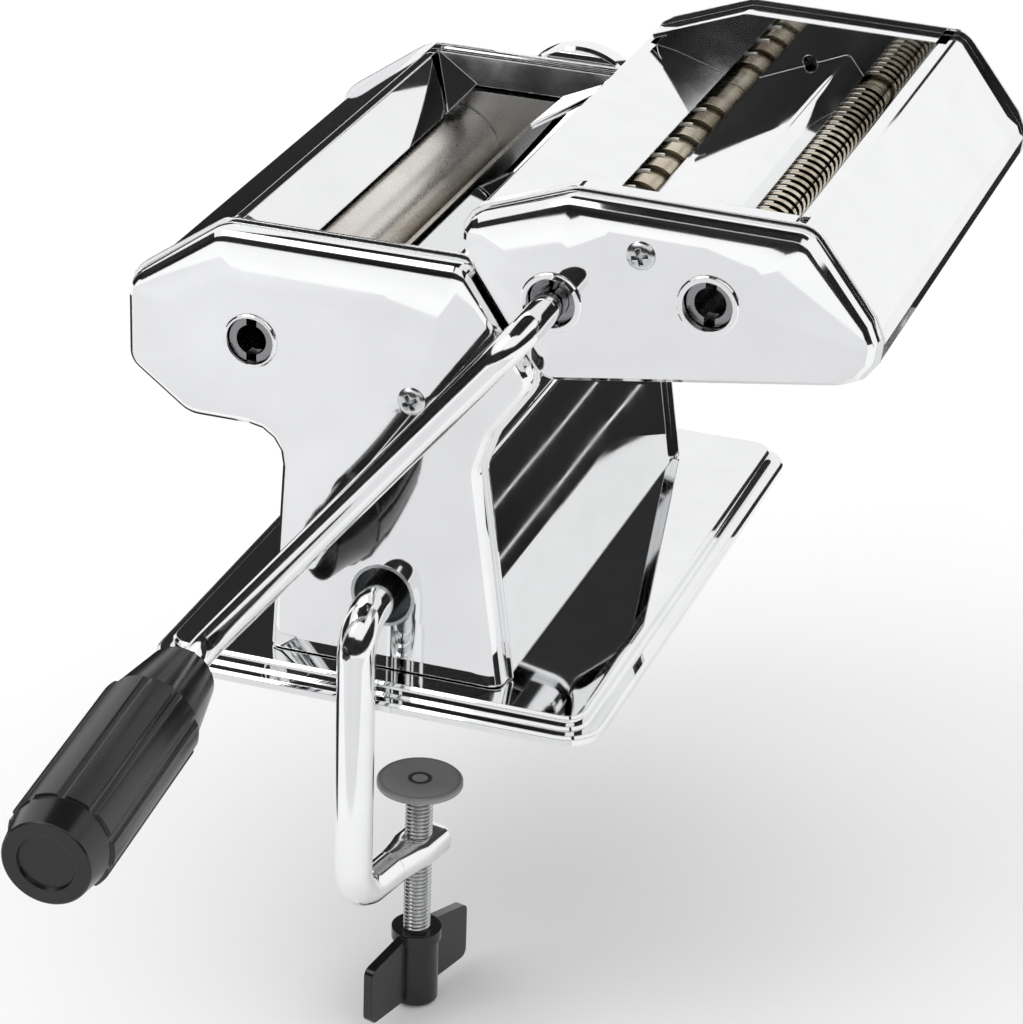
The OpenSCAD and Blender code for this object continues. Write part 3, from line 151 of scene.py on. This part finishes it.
def colour_mix(tree, **settings):
    """A colour mix node with its two colour inputs and its colour output."""
    node = add_node(tree, "ShaderNodeMix", data_type="RGBA", **settings)
    first, second = [i for i in node.inputs if i.type == "RGBA"]
    result = [o for o in node.outputs if o.type == "RGBA"][0]
    return node, first, second, result


def bump(tree, shader, height, strength, distance, round_edges=0.0):
    """Bump from a height, over edges that are rounded in the shading only."""
    node = add_node(tree, "ShaderNodeBump", in_Strength=strength, in_Distance=distance)
    tree.links.new(height, node.inputs["Height"])
    if round_edges:
        edge = add_node(tree, "ShaderNodeBevel", samples=4, in_Radius=round_edges)
        tree.links.new(edge.outputs["Normal"], node.inputs["Normal"])
    tree.links.new(node.outputs["Normal"], shader.inputs["Normal"])


# -------------------------------------------------------------- materials
def chrome(name, color, rough_low, rough_high, wave):
    """Polished plate: faint haze in its polish and a slight wave in the pressed sheet."""
    mat, tree, shader = new_material(name)
    shader.inputs["Metallic"].default_value = 1.0
    haze = noise(tree, 55.0, 5.0)
    tree.links.new(remap(tree, haze.outputs["Fac"], rough_low, rough_high), shader.inputs["Roughness"])
    dark = tuple(0.965 * c for c in color)
    tree.links.new(tint(tree, haze.outputs["Fac"], dark, color), shader.inputs["Base Color"])
    swell = noise(tree, 9.0, 1.0)
    bump(tree, shader, swell.outputs["Fac"], wave, 0.0012, EDGE_ROUND)
    return mat


def painted_hollow_shade(tree, color, reach):
    """Painted shade: darkens a colour in bores and grooves by their ambient occlusion, where the light does
    not reach.
    """
    hollow = add_node(tree, "ShaderNodeAmbientOcclusion", samples=8, only_local=True, in_Distance=reach)
    shade = remap(tree, hollow.outputs["AO"], 0.02, 1.0, 0.45, 0.9)
    node, shade_colour, clean, result = colour_mix(tree)
    # near-black colour of the painted shade in the hollows
    shade_colour.default_value = (0.012, 0.010, 0.008, 1)
    tree.links.new(shade, node.inputs["Factor"])
    tree.links.new(color, clean)
    return result


def grey_ends(tree, color):
    """The shaft ends in the sockets are plain grey steel."""
    coords = add_node(tree, "ShaderNodeTexCoord")
    split = add_node(tree, "ShaderNodeSeparateXYZ")
    tree.links.new(coords.outputs["Object"], split.inputs["Vector"])
    along = add_node(tree, "ShaderNodeMath", operation="ABSOLUTE")
    tree.links.new(split.outputs["Y"], along.inputs[0])
    node, body, end, result = colour_mix(tree)
    tree.links.new(remap(tree, along.outputs["Value"], 0.0, 1.0, *SHAFT_END), node.inputs["Factor"])
    tree.links.new(color, body)
    end.default_value = (0.30, 0.30, 0.31, 1)
    return result


def turned_metal(name, dark, light, rough, grain_axis, depth=0.25, hollow_shade_reach=0.0, ends=False):
    """Satin metal with fine grain round or along its axis."""
    mat, tree, shader = new_material(name)
    shader.inputs["Metallic"].default_value = 1.0
    stretch = tuple(0.02 if a == grain_axis else 1.0 for a in "xyz")
    grain = noise(tree, 2600.0, 3.0, 0.6, stretch)
    patches = noise(tree, 38.0, 4.0)
    color = tint(tree, patches.outputs["Fac"], dark, light)
    # painted shade in bores, grooves and thread roots, reaching as far as given
    if hollow_shade_reach:
        color = painted_hollow_shade(tree, color, hollow_shade_reach)
    if ends:
        color = grey_ends(tree, color)
    tree.links.new(color, shader.inputs["Base Color"])
    tree.links.new(remap(tree, grain.outputs["Fac"], rough - 0.05, rough + 0.08), shader.inputs["Roughness"])
    bump(tree, shader, grain.outputs["Fac"], depth, 0.00002, EDGE_ROUND * 0.6)
    return mat


def plastic(name, dark, light, rough, grain, depth):
    """Moulded plastic with a fine spark-eroded grain."""
    mat, tree, shader = new_material(name)
    shader.inputs["Metallic"].default_value = 0.0
    shader.inputs["IOR"].default_value = 1.5
    fine = noise(tree, grain, 4.0, 0.6)
    broad = noise(tree, 30.0, 3.0)
    tree.links.new(tint(tree, broad.outputs["Fac"], dark, light), shader.inputs["Base Color"])
    tree.links.new(remap(tree, broad.outputs["Fac"], rough, rough + 0.1), shader.inputs["Roughness"])
    bump(tree, shader, fine.outputs["Fac"], depth, 0.00004, EDGE_ROUND)
    return mat


def pad_metal():
    """Matt zinc of the clamp pad, with the ring of the peened screw end in its middle."""
    mat = turned_metal("pad_zinc", (0.52, 0.52, 0.52), (0.66, 0.66, 0.66), 0.45, "z", 0.5)
    tree = mat.node_tree
    shader = tree.nodes["Principled BSDF"]
    shader.inputs["Metallic"].default_value = 0.25
    coords = add_node(tree, "ShaderNodeTexCoord")
    away = add_node(tree, "ShaderNodeVectorMath", operation="DISTANCE")
    away.inputs[1].default_value = (*SCREW_AT, PAD_TOP)
    tree.links.new(coords.outputs["Object"], away.inputs[0])
    ramp = add_node(tree, "ShaderNodeValToRGB")
    bands = ((0.0, 0.80), (0.16, 0.90), (0.20, 0.10), (0.26, 0.10), (0.30, 0.75), (0.85, 0.85), (1.0, 0.45))
    for place, level in bands[1:-1]:
        ramp.color_ramp.elements.new(place)
    for element, (place, level) in zip(ramp.color_ramp.elements, bands):
        element.position = place
        element.color = (level, level, level, 1)
    tree.links.new(remap(tree, away.outputs["Value"], 0.0, 1.0, 0.0, PAD_RADIUS), ramp.inputs["Fac"])
    blend, rings, plain, result = colour_mix(tree, blend_type="MULTIPLY")
    blend.inputs["Factor"].default_value = 1.0
    tree.links.new(ramp.outputs["Color"], rings)
    tree.links.new(shader.inputs["Base Color"].links[0].from_socket, plain)
    tree.links.new(result, shader.inputs["Base Color"])
    return mat


CHROME = chrome("chrome_plate", (0.90, 0.905, 0.91), 0.02, 0.06, 0.05)
WALL_CHROME = chrome("wall_chrome", (0.86, 0.865, 0.87), 0.012, 0.035, 0.04)
ROD_CHROME = chrome("rod_chrome", (0.90, 0.905, 0.91), 0.05, 0.11, 0.0)
STEEL = turned_metal("bright_steel", (0.50, 0.51, 0.52), (0.62, 0.63, 0.64), 0.28, "y")
ZINC = turned_metal("zinc_steel", (0.52, 0.53, 0.54), (0.63, 0.64, 0.65), 0.33, "x")
# roller_steel, cutter_alloy and threaded_zinc get painted shade in their hollows, reaching 0.010, 0.009 and
# 0.0012 m
ROLLER = turned_metal("roller_steel", (0.70, 0.66, 0.61), (0.80, 0.77, 0.73), 0.26, "x", 0.25, 0.010, True)
CUTTER = turned_metal("cutter_alloy", (0.46, 0.38, 0.27), (0.74, 0.67, 0.54), 0.24, "x", 0.25, 0.009, True)
NYLON = plastic("pale_nylon", (0.78, 0.76, 0.70), (0.86, 0.84, 0.78), 0.42, 900.0, 0.1)
BLACK = plastic("black_plastic", (0.006, 0.006, 0.007), (0.011, 0.011, 0.012), 0.17, 1400.0, 0.10)
BOARD = plastic("dark_board", (0.02, 0.02, 0.021), (0.035, 0.035, 0.036), 0.6, 700.0, 0.3)
THREAD = turned_metal("threaded_zinc", (0.62, 0.63, 0.64), (0.72, 0.73, 0.74), 0.22, "x", 0.15, 0.0012)
PAD_ZINC = pad_metal()
BRONZE = turned_metal("sintered_bronze", (0.48, 0.38, 0.24), (0.58, 0.47, 0.31), 0.4, "x")

BY_NODE = {
    WALL_CHROME: ("left_panel", "right_panel", "sheet_guide", "base_tray"),
    ROD_CHROME: ("crank_arm", "clamp_rod"),
    ROLLER: ("drive_roller", "idle_roller"),
    CUTTER: ("wide_drive_cutter", "wide_driven_cutter", "narrow_drive_cutter", "narrow_driven_cutter"),
    NYLON: ("wide_combs", "narrow_combs"),
    BLACK: ("crank_grip", "wing_knob"),
    BOARD: ("base_board",),
    BRONZE: ("roller_bushes", "cutter_bushes"),
    PAD_ZINC: ("clamp_pad",),
    ZINC: ("clamp_screw", "base_screws", "cover_screws", "cutter_cap_screws", "crank_pin"),
    STEEL: ("front_frame", "rear_frame", "tie_rods", "hitch_rails", "hitch_tongues", "roller_scrapers",
            "dial_plate", "drive_gear", "roller_carrier", "idle_gear", "adjuster_cam", "clamp_tube",
            "clamp_bush", "cutter_tie_rods", "wide_drive_gear", "wide_driven_gear",
            "narrow_drive_gear", "narrow_driven_gear"),
}


def dress_cad():
    """Puts each CAD node's material on and shades its curved faces smooth."""
    named = {node: mat for mat, group in BY_NODE.items() for node in group}
    for name, obj in nodes.items():
        obj.data.materials.clear()
        obj.data.materials.append(named.get(name, CHROME))
        obj.data.shade_smooth()
        weld = obj.modifiers.new("weld", "WELD")
        weld.merge_threshold = WELD_GAP
        split = obj.modifiers.new("split", "EDGE_SPLIT")
        split.use_edge_sharp = False
        split.split_angle = math.radians(SHARP_ANGLE)


# ----------------------------------------------------------------- studio
def camera():
    data = bpy.data.cameras.new("camera")
    data.lens = CAMERA_LENS
    data.sensor_width = SENSOR
    data.clip_start = 0.01
    obj = link(bpy.data.objects.new("camera", data))
    back = CAMERA_RIGHT.cross(CAMERA_UP)
    turn = Matrix((CAMERA_RIGHT, CAMERA_UP, back)).transposed().to_4x4()
    obj.matrix_world = Matrix.Translation(CAMERA_AT) @ turn
    bpy.context.scene.camera = obj


def area_lamp(name, place, aim, size, power):
    data = bpy.data.lights.new(name, "AREA")
    data.shape = "RECTANGLE"
    data.size, data.size_y = size
    data.energy = power
    obj = link(bpy.data.objects.new(name, data))
    obj.location = place
    obj.rotation_euler = (Vector(aim) - Vector(place)).to_track_quat("-Z", "Y").to_euler()


def floor():
    low = min(p[2] for p in cad_box)
    z = low - FLOOR_DROP
    mesh = bpy.data.meshes.new("floor")
    s = FLOOR_HALF
    mesh.from_pydata([(-s, -s, z), (s, -s, z), (s, s, z), (-s, s, z)], [], [(0, 1, 2, 3)])
    obj = link(bpy.data.objects.new("floor", mesh))
    mat, tree, shader = new_material("floor")
    shader.inputs["Roughness"].default_value = 0.9
    shader.inputs["Specular IOR Level"].default_value = 0.0
    speck = noise(tree, 3.0, 2.0)
    tree.links.new(tint(tree, speck.outputs["Fac"], (0.95, 0.95, 0.95), (0.97, 0.97, 0.97)),
                   shader.inputs["Base Color"])
    mesh.materials.append(mat)


# Black flags round the set: corners in metres. Only the metal's reflections show them.
def upright(y, *points):
    return [(x, y, z) for x, z in points]


def lying(z, x0, x1, y0, y1):
    return [(x0, y0, z), (x1, y0, z), (x1, y1, z), (x0, y1, z)]


FLAGS = {
    "front": upright(-1.7, (-2.2, -0.1), (2.2, -0.1), (2.2, 0.94), (0.02, 0.94), (0.0, 1.05), (-2.2, 1.05)),
    "left": [(-1.7, -2.2, -0.1), (-1.7, 0.5, -0.1), (-1.7, 0.5, 1.05), (-1.7, -2.2, 1.05)],
    "right": [(1.7, -2.2, -0.1), (1.7, 0.5, -0.1), (1.7, 0.5, 1.05), (1.7, -2.2, 1.05)],
    "top": lying(1.65, -0.9, 0.9, -0.8, 1.6),
    "low_right": upright(0.45, (0.15, -0.105), (0.262, -0.105), (0.258, 0.175), (0.205, 0.145), (0.15, 0.12)),
    "high_right": upright(0.45, (0.070, 0.19), (0.120, 0.19), (0.120, 0.345), (0.070, 0.345)),
    "floor_a": lying(FLAG_FLOOR, 0.150, 0.1891, 0.25, 0.45),
    "floor_b": lying(FLAG_FLOOR, 0.190, 0.2052, 0.25, 0.45),
    "floor_c": lying(FLAG_FLOOR, 0.206, 0.2211, 0.25, 0.45),
    "floor_d": lying(FLAG_FLOOR, 0.2215, 0.29, 0.25, 0.45),
    "floor_left": lying(FLAG_FLOOR, -0.60, -0.13, -0.10, 0.45),
    "back_left": upright(0.6, (-0.45, 0.26), (-0.21, 0.26), (-0.21, 0.44), (-0.45, 0.44)),
    "low_left": upright(0.45, (-0.6, -0.105), (-0.15, -0.105), (-0.15, 0.10), (-0.6, 0.10)),
}


# Pale card on the floor before the set, which the front faces mirror as a light grey
CARDS = {"front_card": lying(CARD_FLOOR, -0.75, 0.45, -1.0, -0.25)}


def cloth(name, dark, light):
    mat, tree, shader = new_material(name)
    shader.inputs["Roughness"].default_value = 0.95
    shader.inputs["Specular IOR Level"].default_value = 0.0
    weave = noise(tree, 2.5, 1.0)
    tree.links.new(tint(tree, weave.outputs["Fac"], dark, light), shader.inputs["Base Color"])
    return mat


def flags():
    black = cloth("flag_cloth", (0.012, 0.012, 0.012), (0.03, 0.03, 0.03))
    pale = cloth("pale_card", (0.72, 0.72, 0.73), (0.80, 0.80, 0.81))
    for name, corners in {**FLAGS, **CARDS}.items():
        mesh = bpy.data.meshes.new("flag_" + name)
        mesh.from_pydata(corners, [], [tuple(range(len(corners)))])
        mesh.materials.append(pale if name in CARDS else black)
        obj = link(bpy.data.objects.new("flag_" + name, mesh))
        obj.visible_camera = False
        obj.visible_diffuse = False
        obj.visible_shadow = False


def world():
    """Plain white surround: the backdrop that the camera and the metal both see."""
    w = bpy.data.worlds.new("studio")
    bpy.context.scene.world = w
    w.use_nodes = True
    base = w.node_tree.nodes["Background"]
    base.inputs["Color"].default_value = (1, 1, 1, 1)
    base.inputs["Strength"].default_value = 1.0


# ---------------------------------------------------------- detail pieces
def mesh_object(name, verts, faces, mat, smooth=True):
    mesh = bpy.data.meshes.new(name)
    mesh.from_pydata(verts, [], faces)
    mesh.validate()
    mesh.materials.append(mat)
    if smooth:
        mesh.shade_smooth()
    return link(bpy.data.objects.new(name, mesh))


def threaded_rod(name, centre, z0, z1, radius, pitch, depth, mat):
    """Rod with a real helical thread: rows every sixth of a pitch, 40 points round."""
    turns = 40
    rows = int((z1 - z0) / (pitch / 6)) + 1
    verts, faces = [], []
    for i in range(rows):
        z = z0 + (z1 - z0) * i / (rows - 1)
        for k in range(turns):
            a = 2 * math.pi * k / turns
            phase = ((z - z0) / pitch - k / turns) % 1.0
            ridge = min(1.0, max(0.0, 2.6 * abs(2 * phase - 1) - 0.8))
            fade = min(1.0, (z - z0) / pitch, (z1 - z) / pitch)
            r = radius - depth * (1 - ridge) * max(0.0, fade) - 0.00015 * (1 - max(0.0, fade))
            verts.append((centre[0] + r * math.cos(a), centre[1] + r * math.sin(a), z))
    for i in range(rows - 1):
        for k in range(turns):
            a, b = i * turns + k, i * turns + (k + 1) % turns
            faces.append((a, b, b + turns, a + turns))
    faces.append(tuple(reversed(range(turns))))
    faces.append(tuple(range((rows - 1) * turns, rows * turns)))
    return mesh_object(name, verts, faces, mat)


def cross_head(name, centre, face_y, side, mat, turn):
    """Pan head with a cross recess, and its shank: centre (x, z), side -1 front or 1 rear."""
    radius, height, slot, arm, deep = 0.004, 0.0016, 0.00052, 0.0022, 0.0011
    rings, spokes = 22, 72
    verts, faces = [], []
    for i in range(rings + 1):
        r = radius * i / rings
        for k in range(spokes):
            a = 2 * math.pi * k / spokes
            u, v = r * math.cos(a), r * math.sin(a)
            p = u * math.cos(turn) + v * math.sin(turn)
            q = v * math.cos(turn) - u * math.sin(turn)
            top = height * math.sqrt(max(0.0, 1 - (r / radius) ** 2.6 * 0.999))
            near = min(max(abs(p) - slot, abs(q) - arm), max(abs(q) - slot, abs(p) - arm))
            sink = min(1.0, max(0.0, -near / 0.00016 + 0.5)) * deep
            verts.append((centre[0] + u, face_y + side * max(0.0001, top - sink), centre[1] + v))
    for i in range(rings):
        for k in range(spokes):
            a, b = i * spokes + k, i * spokes + (k + 1) % spokes
            quad = (a, b, b + spokes, a + spokes)
            faces.append(quad if side < 0 else tuple(reversed(quad)))
    base = len(verts)
    for y in (face_y, face_y - side * 0.003):
        for k in range(spokes):
            a = 2 * math.pi * k / spokes
            verts.append((centre[0] + 0.0019 * math.cos(a), y, centre[1] + 0.0019 * math.sin(a)))
    for k in range(spokes):
        n = (k + 1) % spokes
        faces.append((base + k, base + n, base + spokes + n, base + spokes + k))
    return mesh_object(name, verts, faces, mat)


def details():
    screw = threaded_rod("threaded_screw", SCREW_AT, SCREW_Z[0], SCREW_Z[1],
                         SCREW_RADIUS, SCREW_PITCH, THREAD_DEPTH, THREAD)
    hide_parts("clamp_screw")
    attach(screw, "clamp_screw")
    for node, body, centre, face_y, angle in (
            ("cover_screws", "machine", COVER_SCREW, COVER_FACE, 0.5),
            ("cutter_cap_screws", "cutter_unit", CAP_SCREW, CAP_FACE, 0.25)):
        for side, place in ((-1, "front"), (1, "rear")):
            head = cross_head(node + "_" + place, centre, side * face_y, side, THREAD, angle)
            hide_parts(node)
            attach(head, body)


dress_cad()
details()
camera()
floor()
flags()
world()
area_lamp("key", KEY_PLACE, KEY_AIM, KEY_SIZE, KEY_POWER)

scene = bpy.context.scene
scene.view_settings.view_transform = "Standard"
